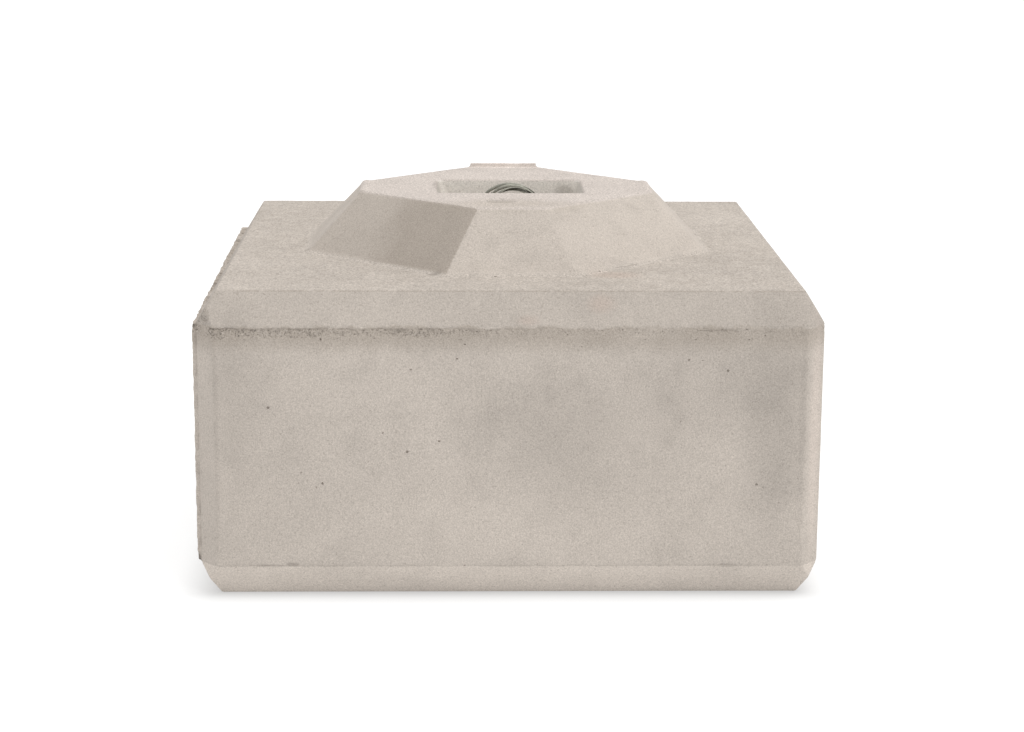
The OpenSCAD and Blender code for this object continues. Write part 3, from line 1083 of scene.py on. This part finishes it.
def hole_places(surface, sizes):
    """Air holes as (point, outward, radius, flatness), never touching each other."""
    draw = np.random.default_rng(sizes.seed)
    wanted = [((x, -HALF_D, z), (0, -1, 0), radius * MM, 1.0) for x, z, radius in FRONT_HOLES]
    sides = (((0, -1, 0), HALF_W, HALF_D), ((0, 1, 0), HALF_W, HALF_D),
             ((1, 0, 0), HALF_D, HALF_W), ((-1, 0, 0), HALF_D, HALF_W))

    def want(place, facing, least, more, power, flattest):
        """One more hole: its radius runs from least to least + more millimetres, mostly near least."""
        radius = (least + more * draw.random() ** power) * MM
        wanted.append((place, Vector(facing), radius, draw.uniform(*flattest)))

    for _ in range(sizes.holes):
        facing, width, out = sides[draw.integers(4)]
        facing = Vector(facing)
        place = facing * (out + 5 * MM)
        place += Vector((-facing.y, facing.x, 0)) * draw.uniform(-0.92, 0.92) * width
        place.z = 0.03 + 0.55 * draw.random() ** 0.8
        want(place, facing, 0.7, 2.6, 3, (0.8, 1.3))
    for _ in range(sizes.holes // 3):
        place = Vector((draw.uniform(-0.57, 0.57), draw.uniform(-0.57, 0.57), STUD_Z + 20 * MM))
        want(place, (0, 0, 1), 0.7, 2.2, 3, (0.8, 1.3))
    for _ in range(sizes.holes * 2):
        across = -0.56 + 1.1 * draw.random() ** 2.2
        place = Vector((across, -HALF_D - 5 * MM, SEAM_Z - (2 + 22 * draw.random() ** 1.3) * MM))
        want(place, (0, -1, 0), 0.6, 1.3, 2, (0.9, 1.7))
    for _ in range(sizes.holes // 2):
        place = Vector((-HALF_W - 20 * MM, draw.uniform(-0.56, 0.56), SEAM_Z - 24 * draw.random() * MM))
        want(place, (-1, 0, 0), 1.0, 2.4, 2, (1.0, 1.6))
    for _ in range(sizes.holes // 2):
        place = Vector((-HALF_W - 11 * MM * draw.random(), draw.uniform(-0.55, 0.56), SEAM_Z + 20 * MM))
        want(place, (0, 0, 1), 1.2, 3.2, 2, (1.0, 1.5))
    placed = []
    for place, facing, radius, flat in wanted:
        hit = surface.ray_cast(Vector(place) + Vector(facing) * 10 * MM, -Vector(facing))
        if hit[0] is None:
            continue
        room = radius * max(flat, 1.0)
        if all((hit[0] - other).length > (room + theirs) * HOLE_ROOM for other, theirs, *_ in placed):
            placed.append((hit[0], room, Vector(facing), radius, flat))
    return placed


def hole_cutters(surface, sizes):
    """Small lumps, each wider than tall, to be cut from the casting's skin."""
    shape = bmesh.new()
    for point, _, facing, radius, flat in hole_places(surface, sizes):
        level = 2 if radius > LARGE_HOLE else 1
        turned = facing.to_track_quat("Z", "Y").to_matrix().to_4x4()
        sized = Matrix.Diagonal((radius * flat, radius / max(flat, 1) ** 0.5, radius * 0.9, 1))
        place = Matrix.Translation(point - facing * radius * HOLE_SINK) @ turned @ sized
        bmesh.ops.create_icosphere(shape, subdivisions=level, radius=1, matrix=place)
    return object_from("holes", shape)


def crack_cutters(surface):
    """Thin wandering tubes along the surface, one for each crack."""
    shape = bmesh.new()
    for run in CRACKS:
        level = run[0][2] > SEAM_Z + 10 * MM
        fine = []
        for start, end in zip(run, run[1:]):
            fine += [Vector(start).lerp(Vector(end), i / CRACK_STEPS) for i in range(CRACK_STEPS)]
        fine.append(Vector(run[-1]))
        wobble = 2.2 * MM * noise(np.array(fine), 0.009, 41)
        path = []
        for point, shift in zip(fine, wobble):
            aside = Vector((0, shift, 0)) if level else Vector((0, 0, shift))
            path.append(surface.find_nearest(point + aside)[0])
        tube(shape, path, CRACK_R, 5)
    return object_from("cracks", shape)


def steel_cutters():
    """The hollows that the rope tails, ferrules, bars and ties fill."""
    first = bmesh.new()
    second = bmesh.new()
    for name in LOOPS:
        rope = ROPES[name]
        tube(first, tail_path(name), rope["radius"], 16)
        low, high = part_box("ferrule_" + name)
        middle = (low + high) / 2
        tube(second, [(low.x, 0, middle.z), (high.x, 0, middle.z)], (high.z - low.z) / 2, 20)
    for side in ("left", "right"):
        low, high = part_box("anchor_bar_" + side)
        middle = (low + high) / 2
        tube(first, [(middle.x, low.y, middle.z), (middle.x, high.y, middle.z)], (high.z - low.z) / 2, 20)
    for path in tie_paths():
        tube(first, path, TIE_R, 8, closed=True)
    third = bmesh.new()
    for name in LOOPS:
        for leg in ("left", "right"):
            place = Matrix.Translation((ROPES[name][leg], 0, FLOOR_Z))
            bmesh.ops.create_uvsphere(third, u_segments=24, v_segments=12, radius=DISH_R, matrix=place)
    return [object_from("tails", first), object_from("ferrules", second), object_from("dishes", third)]


def tie_facts():
    """The four tie rings' boxes, read from their CAD node: low and high X, Z."""
    points = np.array([v.co for v in frame["nodes"]["tie_wires"].data.vertices])
    middle_x = (ROPES["inner"]["left"] + ROPES["inner"]["right"]) / 2
    middle_z = (points[:, 2].min() + points[:, 2].max()) / 2
    rings = []
    for left in (True, False):
        for low in (True, False):
            mine = points[((points[:, 0] < middle_x) == left) & ((points[:, 2] < middle_z) == low)]
            rings.append((mine.min(0), mine.max(0)))
    return rings


TIES = tie_facts()
TIE_R = (TIES[0][1][2] - TIES[0][0][2]) / 2


def tie_paths():
    """The centre lines of the tie rings, level and round the legs."""
    paths = []
    for low, high in TIES:
        ring = high[1] - TIE_R
        z = (low[2] + high[2]) / 2
        path = []
        for centre, start in ((high[0] - TIE_R - ring, -90), (low[0] + TIE_R + ring, 90)):
            for i in range(9):
                angle = math.radians(start + 180 * i / 8)
                path.append(Vector((centre + ring * math.cos(angle), ring * math.sin(angle), z)))
        paths.append(path)
    return paths


class BLOCK_OT_concrete(Operator):
    """Casts the block: its form, its skin, its holes and its material"""
    bl_idname = "block.concrete"
    bl_label = "Cast the concrete"

    def execute(self, context):
        sizes = context.scene.block.concrete
        cell = sizes.cell
        solid = plain_casting(cell)
        shape_casting(solid, sizes)
        thin_out(solid, sizes.triangles)
        surface = surface_tree(solid)
        cutters = steel_cutters() + [hole_cutters(surface, sizes), crack_cutters(surface)]
        combine(solid, cutters, "DIFFERENCE")
        shade(solid.data, CONCRETE_SHARP)
        solid.data.materials.clear()
        solid.data.materials.append(concrete_material(sizes))
        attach(solid, "block")
        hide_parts("concrete_block")
        return {"FINISHED"}


# ---- Rope ----

class Grower(Web):
    """A geometry node group that takes a path and gives a mesh, with its inputs as values."""

    def __init__(self, name, inputs):
        super().__init__(bpy.data.node_groups.new(name, "GeometryNodeTree"))
        sockets = self.tree.interface
        sockets.new_socket("Path", in_out="INPUT", socket_type="NodeSocketGeometry")
        for title, kind, default in inputs:
            socket = sockets.new_socket(title, in_out="INPUT", socket_type="NodeSocket" + kind)
            if default is not None:
                socket.default_value = default
        sockets.new_socket("Mesh", in_out="OUTPUT", socket_type="NodeSocketGeometry")
        given = self.tree.nodes.new("NodeGroupInput").outputs
        self.given = {socket.name: Value(self, socket) for socket in given if socket.name}

    def path(self):
        return self.out("GeometryNodeMeshToCurve", {0: self.given["Path"]})

    def circle(self, points, radius=1.0):
        return self.out("GeometryNodeCurvePrimitiveCircle", {"Resolution": points, "Radius": radius})

    def swept(self, curve, outline):
        inputs = {"Curve": curve, "Profile Curve": outline, "Fill Caps": True}
        return self.out("GeometryNodeCurveToMesh", inputs)

    def moved(self, geometry, **inputs):
        return self.out("GeometryNodeSetPosition", {"Geometry": geometry, **inputs})

    def captured(self, geometry, domain, kind, name, value):
        """Keeps a value on a geometry, and returns both."""
        made = self.add("GeometryNodeCaptureAttribute", domain=domain)
        made.capture_items.new(kind, name)
        self.give(made.inputs["Geometry"], geometry)
        self.give(made.inputs[name], value)
        return Value(self, made.outputs["Geometry"]), Value(self, made.outputs[name])

    def joined(self, parts):
        whole = self.add("GeometryNodeJoinGeometry")
        for part in parts:
            self.give(whole.inputs[0], part)
        return Value(self, whole.outputs[0])

    def finish(self, geometry):
        real = self.out("GeometryNodeRealizeInstances", {"Geometry": geometry})
        painted = self.out("GeometryNodeSetMaterial", {"Geometry": real, "Material": self.given["Material"]})
        self.give(self.add("NodeGroupOutput").inputs[0], painted)
        return self.tree


def strand_tree():
    """Lays helical strands of wires along a path, round a core."""
    web = Grower(STRAND_TREE, (
        ("Radius", "Float", 4 * MM),
        ("Strands", "Int", 6),
        ("Wires", "Int", 6),
        ("Lay length", "Float", 52 * MM),
        ("Step", "Float", 2 * MM),
        ("Core", "Bool", True),
        ("Material", "Material", None),
    ))
    given = web.given
    radius = given["Radius"]

    # A strand's radius, so that the strands touch round the core
    share = web.reckon("SINE", web.reckon("DIVIDE", math.pi, given["Strands"]))
    strand_r = radius * share / (share + 1.0)
    helix_r = radius - strand_r

    resampled = {"Curve": web.path(), "Length": given["Step"]}
    path = web.out("GeometryNodeResampleCurve", resampled, mode="LENGTH")
    copied = {"Geometry": path, "Amount": given["Strands"]}
    copies = web.add("GeometryNodeDuplicateElements", copied, domain="SPLINE")
    copy = Value(web, copies.outputs["Duplicate Index"])
    place = web.out("GeometryNodeInputPosition")
    curves, centre = web.captured(Value(web, copies.outputs["Geometry"]), "POINT", "VECTOR", "Centre", place)
    curves, copy = web.captured(curves, "CURVE", "INT", "Copy", copy)

    length_so_far = web.out("GeometryNodeSplineParameter", output="Length")
    angle = (length_so_far / given["Lay length"] + copy / given["Strands"]) * (2 * math.pi)
    normal = web.out("GeometryNodeInputNormal")
    side = web.vectors("CROSS_PRODUCT", web.out("GeometryNodeInputTangent"), normal)
    out = web.vectors("ADD", web.scaled(normal, web.reckon("COSINE", angle)),
                      web.scaled(side, web.reckon("SINE", angle)))
    tilted = web.out("GeometryNodeSetCurveTilt", {"Curve": curves, "Tilt": angle * STRAND_TILT})
    laid = web.moved(tilted, Offset=web.scaled(out, helix_r))

    # The strand's outline has a lobe for each wire, four points to a lobe
    outline = web.circle(given["Wires"] * 4.0)
    turn = web.out("GeometryNodeInputIndex") * (math.pi / 4)
    lobe = abs(web.reckon("COSINE", turn)) * LOBE_HEIGHT + (1 - LOBE_HEIGHT)
    outline = web.moved(outline, Position=web.scaled(place, lobe * strand_r))
    depth = web.vectors("DISTANCE", place, centre, "Value") / radius
    stored = {"Geometry": web.swept(laid, outline), "Name": "depth", "Value": depth}
    strands = web.out("GeometryNodeStoreNamedAttribute", stored)

    core_r = (helix_r - strand_r) * CORE_SHARE
    core = web.swept(path, web.moved(web.circle(12), Position=web.scaled(place, core_r)))
    core = web.out("GeometryNodeSwitch", {"Switch": given["Core"], "True": core}, input_type="GEOMETRY")
    return web.finish(web.out("GeometryNodeSetShadeSmooth", {"Geometry": web.joined((core, strands))}))


def grown(name, base, tree, values):
    """A plain mesh object grown by a node tree from a base mesh, with the tree's inputs set by name."""
    thing = new_object(name, base)
    grower = thing.modifiers.new("grow", "NODES")
    grower.node_group = tree
    for item in tree.interface.items_tree:
        if item.item_type == "SOCKET" and item.in_out == "INPUT" and item.name in values:
            grower[item.identifier] = values[item.name]
    apply_all(thing)
    if not len(thing.data.polygons):
        raise RuntimeError(name + " came out empty")
    return thing


def path_mesh(name, paths, closed=False):
    """Paths as bare edges, to be swept by a node tree."""
    vertices = []
    edges = []
    for path in paths:
        first = len(vertices)
        vertices += path
        edges += [(first + i, first + i + 1) for i in range(len(path) - 1)]
        if closed:
            edges.append((len(vertices) - 1, first))
    return mesh_from(name, vertices, edges)


def shared(kind, name, make):
    """A node tree or material by name, made only once."""
    return kind.get(name) or make()


def rope_piece(name, path, step, settings):
    values = {
        "Radius": ROPES["outer"]["radius"],
        "Strands": settings.strands,
        "Wires": settings.wires,
        "Lay length": settings.lay,
        "Step": step,
        "Core": True,
        "Material": shared(bpy.data.materials, "dull_zinc_wire", lambda: wire_material(settings)),
    }
    tree = shared(bpy.data.node_groups, STRAND_TREE, strand_tree)
    return grown(name, path_mesh(name, [path]), tree, values)


class BLOCK_OT_loops(Operator):
    """Lays the bare part of each lifting loop"""
    bl_idname = "block.loops"
    bl_label = "Lay the lifting loops"

    def execute(self, context):
        settings = context.scene.block.rope
        for name in LOOPS:
            piece = rope_piece(name + "_loop_wires", arch_path(name), ARCH_STEP, settings)
            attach(piece, name + "_loop")
            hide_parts("rope_arch_" + name)
        return {"FINISHED"}


class BLOCK_OT_tails(Operator):
    """Lays the buried part of each lifting loop"""
    bl_idname = "block.tails"
    bl_label = "Lay the rope tails"

    def execute(self, context):
        settings = context.scene.block.rope
        for name in LOOPS:
            piece = rope_piece(name + "_tail_wires", tail_path(name), TAIL_STEP, settings)
            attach(piece, "block")
            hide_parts("rope_tail_" + name)
        return {"FINISHED"}


class BLOCK_OT_ties(Operator):
    """Twists the soft wire that ties the rope tails together"""
    bl_idname = "block.ties"
    bl_label = "Twist the tie wires"

    def execute(self, context):
        steel = context.scene.block.steel
        paths = tie_paths()
        round_trip = sum((b - a).length for a, b in zip(paths[0], paths[0][1:] + paths[0][:1]))
        tree = shared(bpy.data.node_groups, STRAND_TREE, strand_tree)
        values = {
            "Radius": TIE_R,
            "Strands": 2,
            "Wires": 3,
            "Lay length": round_trip / round(round_trip / TIE_LAY),
            "Step": TIE_STEP,
            "Core": False,
            "Material": rusty_material("annealed_wire", steel.bar, steel.rust, 0.2),
        }
        piece = grown("tie_wire_twists", path_mesh("ties", paths, closed=True), tree, values)
        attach(piece, "block")
        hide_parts("tie_wires")
        return {"FINISHED"}


# ---- Ferrules and bars ----

FERRULE_CHAMFER = 3 * MM
FERRULE_STEPS = 28
FERRULE_SIDES = 64
# The press bites this many times along the ferrule, this deep, and leaves flash this high
BITES = 3
BITE_DEPTH = 0.35 * MM
FLASH = 0.3 * MM
FLASH_THIN = 60


def ferrule_outline(half, radius, bore):
    """Points (along, out) round the wall of a pressed ferrule."""
    points = [(-half, bore), (-half, radius - FERRULE_CHAMFER)]
    for i in range(FERRULE_STEPS + 1):
        along = -half + FERRULE_CHAMFER + (2 * half - 2 * FERRULE_CHAMFER) * i / FERRULE_STEPS
        pressed = BITE_DEPTH * math.sin(math.pi * BITES * (i / FERRULE_STEPS)) ** 2
        points.append((along, radius - pressed))
    points += [(half, radius - FERRULE_CHAMFER), (half, bore)]
    return points


def ferrule_piece(name, material):
    """A sleeve pressed on to the rope, with a fine flash line along each side."""
    low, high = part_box("ferrule_" + name)
    middle = (low + high) / 2
    radius = (high.z - low.z) / 2
    bore = ROPES[name]["radius"]
    outline = ferrule_outline((high.x - low.x) / 2, radius, bore)
    shape = bmesh.new()
    rings = []
    for k in range(FERRULE_SIDES):
        angle = 2 * math.pi * k / FERRULE_SIDES
        side = abs(math.cos(angle)) ** FLASH_THIN
        ring = []
        for along, out in outline:
            if out > bore:
                out -= FLASH * (1 - side)
            place = (middle.x + along, out * math.cos(angle), middle.z + out * math.sin(angle))
            ring.append(shape.verts.new(place))
        rings.append(ring)
    for k in range(FERRULE_SIDES):
        mine, following = rings[k], rings[(k + 1) % FERRULE_SIDES]
        for i in range(len(outline)):
            n = (i + 1) % len(outline)
            shape.faces.new((mine[i], mine[n], following[n], following[i]))
    piece = object_from(name + "_ferrule_pressed", shape)
    shade(piece.data, FERRULE_SHARP)
    piece.data.materials.append(material)
    return piece


class BLOCK_OT_ferrules(Operator):
    """Presses a ferrule on to each rope tail"""
    bl_idname = "block.ferrules"
    bl_label = "Press the ferrules"

    def execute(self, context):
        material = ferrule_material(context.scene.block.steel)
        for name in LOOPS:
            piece = ferrule_piece(name, material)
            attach(piece, "block")
            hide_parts("ferrule_" + name)
        return {"FINISHED"}


def ribbed_tree():
    """Rolls a round bar along a path, with slanted ribs on two of its sides."""
    web = Grower(RIBBED_TREE, (
        ("Core radius", "Float", 7 * MM),
        ("Rib height", "Float", 1 * MM),
        ("Rib pitch", "Float", 10 * MM),
        ("Slant", "Float", 8 * MM),
        ("Material", "Material", None),
    ))
    given = web.given
    path = web.path()
    core = web.swept(path, web.circle(32, given["Core radius"]))

    # One rib: part of a turn round the bar, slanting along it, thin at its ends
    line = web.out("GeometryNodeMeshLine", {"Count": RIB_POINTS})
    line = web.out("GeometryNodeMeshToCurve", {0: line})
    part = web.out("GeometryNodeInputIndex") / (RIB_POINTS - 1.0)
    from_middle = part - 0.5
    angle = from_middle * math.radians(150)
    sunk = web.reckon("SINE", part * math.pi) * 0.5 - 0.5
    out = given["Core radius"] + given["Rib height"] * sunk
    spot = web.out("ShaderNodeCombineXYZ", {
        0: out * web.reckon("COSINE", angle),
        1: out * web.reckon("SINE", angle),
        2: from_middle * given["Slant"],
    })
    rib = web.swept(web.moved(line, Position=spot), web.circle(8, given["Rib height"]))
    turned = [web.out("GeometryNodeTransform", {"Geometry": rib, "Rotation": (0, 0, turn)})
              for turn in (0, math.pi)]

    spaced = {"Curve": path, "Length": given["Rib pitch"]}
    spots = web.add("GeometryNodeCurveToPoints", spaced, mode="LENGTH").outputs
    seats = web.out("GeometryNodeInstanceOnPoints", {
        "Points": Value(web, spots[0]),
        "Instance": web.joined(turned),
        "Rotation": Value(web, spots["Rotation"]),
    })
    return web.finish(web.joined((core, seats)))


class BLOCK_OT_bars(Operator):
    """Rolls the two ribbed anchor bars"""
    bl_idname = "block.bars"
    bl_label = "Roll the anchor bars"

    def execute(self, context):
        steel = context.scene.block.steel
        tree = shared(bpy.data.node_groups, RIBBED_TREE, ribbed_tree)
        material = rusty_material("mill_scale_bar", steel.bar, steel.rust, 0.6)
        for side in ("left", "right"):
            low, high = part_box("anchor_bar_" + side)
            middle = (low + high) / 2
            radius = (high.z - low.z) / 2
            path = [(middle.x, low.y, middle.z), (middle.x, high.y, middle.z)]
            values = {
                "Core radius": radius - steel.rib_height,
                "Rib height": steel.rib_height,
                "Rib pitch": steel.rib_pitch,
                "Slant": 9 * MM,
                "Material": material,
            }
            piece = grown("ribbed_bar_" + side, path_mesh("bar", [path]), tree, values)
            keep_between(piece.data, low.y, high.y)
            shade(piece.data, BAR_SHARP)
            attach(piece, "block")
            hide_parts("anchor_bar_" + side)
        return {"FINISHED"}


def keep_between(mesh, low, high):
    """Holds a mesh within two places on Y, so that end ribs stay on the bar."""
    points = coordinates(mesh)
    points[:, 1] = np.clip(points[:, 1], low, high)
    set_coordinates(mesh, points)


# ---- Stage ----

# Where the camera stands, and how it looks at the block: turn to the right, tilt up and roll
CAMERA_PLACE = (-0.1008, -4.8332, 1.4229)
CAMERA_TURN = 1.379
CAMERA_TILT = -12.796
CAMERA_ROLL = 0.326
# Painted contact shadow: how much of the table's glow is left at the block's foot
CONTACT_SHADOW_GLOW = 0.48
FLOOR_REACH = 60.0
KEY_TOWARDS = (0.40, -0.12, 0.90)
KEY_SPREAD = 50
KEY_COLOUR = (1.0, 0.985, 0.965)


def camera_matrix():
    turn, tilt, roll = (math.radians(a) for a in (CAMERA_TURN, CAMERA_TILT, CAMERA_ROLL))
    ahead = Vector((math.sin(turn) * math.cos(tilt), math.cos(turn) * math.cos(tilt), math.sin(tilt)))
    right = Vector((math.cos(turn), -math.sin(turn), 0))
    up = right.cross(ahead)
    rolled_right = right * math.cos(roll) + up * math.sin(roll)
    rolled_up = up * math.cos(roll) - right * math.sin(roll)
    turned = Matrix((rolled_right, rolled_up, -ahead)).transposed().to_4x4()
    return Matrix.Translation(CAMERA_PLACE) @ turned


def floor_material(glow):
    """A white table that is lit from inside, with a painted contact shadow where its glow drops round the block's
    foot.
    """
    paint = Paint("studio_floor")
    cloudy = paint.noise(1.5, 3.0).spread(0.3, 0.7)
    foot = HALF_W - BEVEL_INSET
    gaps = [paint.reckon("MAXIMUM", abs(axis) - foot, 0.0) for axis in paint.axes(paint.place)[:2]]
    away = paint.reckon("SQRT", gaps[0] ** 2.0 + gaps[1] ** 2.0)
    return paint.shade(
        Base_Color=paint.mixed(cloudy, colour(even(0.29)), colour(even(0.31))),
        Roughness=0.9,
        Specular_IOR_Level=0.1,
        Emission_Color=colour(even(1.0)),
        Emission_Strength=away.spread(-40 * MM, 110 * MM, CONTACT_SHADOW_GLOW * glow, glow),
    )


class BLOCK_OT_stage(Operator):
    """Sets up the floor, the light and the camera"""
    bl_idname = "block.stage"
    bl_label = "Set the stage"

    def execute(self, context):
        scene = context.scene
        stage = scene.block.stage
        corners = [(x * FLOOR_REACH, y * FLOOR_REACH, 0) for x, y in ((-1, -1), (1, -1), (1, 1), (-1, 1))]
        floor = new_object("studio_floor", mesh_from("studio_floor", corners, faces=[(0, 1, 2, 3)]))
        floor.data.materials.append(floor_material(stage.glow))

        world = bpy.data.worlds.new("soft_room")
        world.use_nodes = True
        background = world.node_tree.nodes["Background"]
        background.inputs["Color"].default_value = colour(even(1.0))
        background.inputs["Strength"].default_value = stage.fill
        scene.world = world

        light = bpy.data.lights.new("key", "SUN")
        light.energy = stage.key
        light.angle = math.radians(KEY_SPREAD)
        light.color = KEY_COLOUR
        key = bpy.data.objects.new("key", light)
        scene.collection.objects.link(key)
        key.rotation_euler = Vector(KEY_TOWARDS).normalized().to_track_quat("Z", "Y").to_euler()

        view = bpy.data.cameras.new("camera")
        view.sensor_width = 36
        view.lens = stage.lens
        view.clip_end = 200
        camera = bpy.data.objects.new("camera", view)
        scene.collection.objects.link(camera)
        camera.matrix_world = camera_matrix()
        scene.camera = camera
        scene.view_settings.view_transform = "Standard"
        return {"FINISHED"}


class BLOCK_PT_panel(Panel):
    """Lists the block's sizes and the steps that make it"""
    bl_label = "Cast stacking block"
    bl_idname = "BLOCK_PT_panel"
    bl_space_type = "VIEW_3D"
    bl_region_type = "UI"
    bl_category = "Block"

    def draw(self, context):
        for title, settings, operators in STEPS:
            box = self.layout.box()
            box.label(text=title)
            group = getattr(context.scene.block, settings)
            for name in group.__annotations__:
                box.prop(group, name)
            for operator in operators:
                box.operator(operator.bl_idname)


STEPS = (
    ("Stage", "stage", (BLOCK_OT_stage,)),
    ("Concrete", "concrete", (BLOCK_OT_concrete,)),
    ("Rope", "rope", (BLOCK_OT_loops, BLOCK_OT_tails)),
    ("Steel", "steel", (BLOCK_OT_ferrules, BLOCK_OT_bars, BLOCK_OT_ties)),
)
SETTINGS = (ConcreteSettings, RopeSettings, SteelSettings, StageSettings, BlockSettings)
OPERATORS = tuple(operator for step in STEPS for operator in step[2])


def register():
    for kind in SETTINGS + OPERATORS + (BLOCK_PT_panel,):
        bpy.utils.register_class(kind)
    bpy.types.Scene.block = PointerProperty(type=BlockSettings)


def unregister():
    del bpy.types.Scene.block
    for kind in reversed(SETTINGS + OPERATORS + (BLOCK_PT_panel,)):
        bpy.utils.unregister_class(kind)


def main():
    register()
    for operator in OPERATORS:
        area, name = operator.bl_idname.split(".")
        getattr(getattr(bpy.ops, area), name)()


if __name__ == "__main__":
    main()
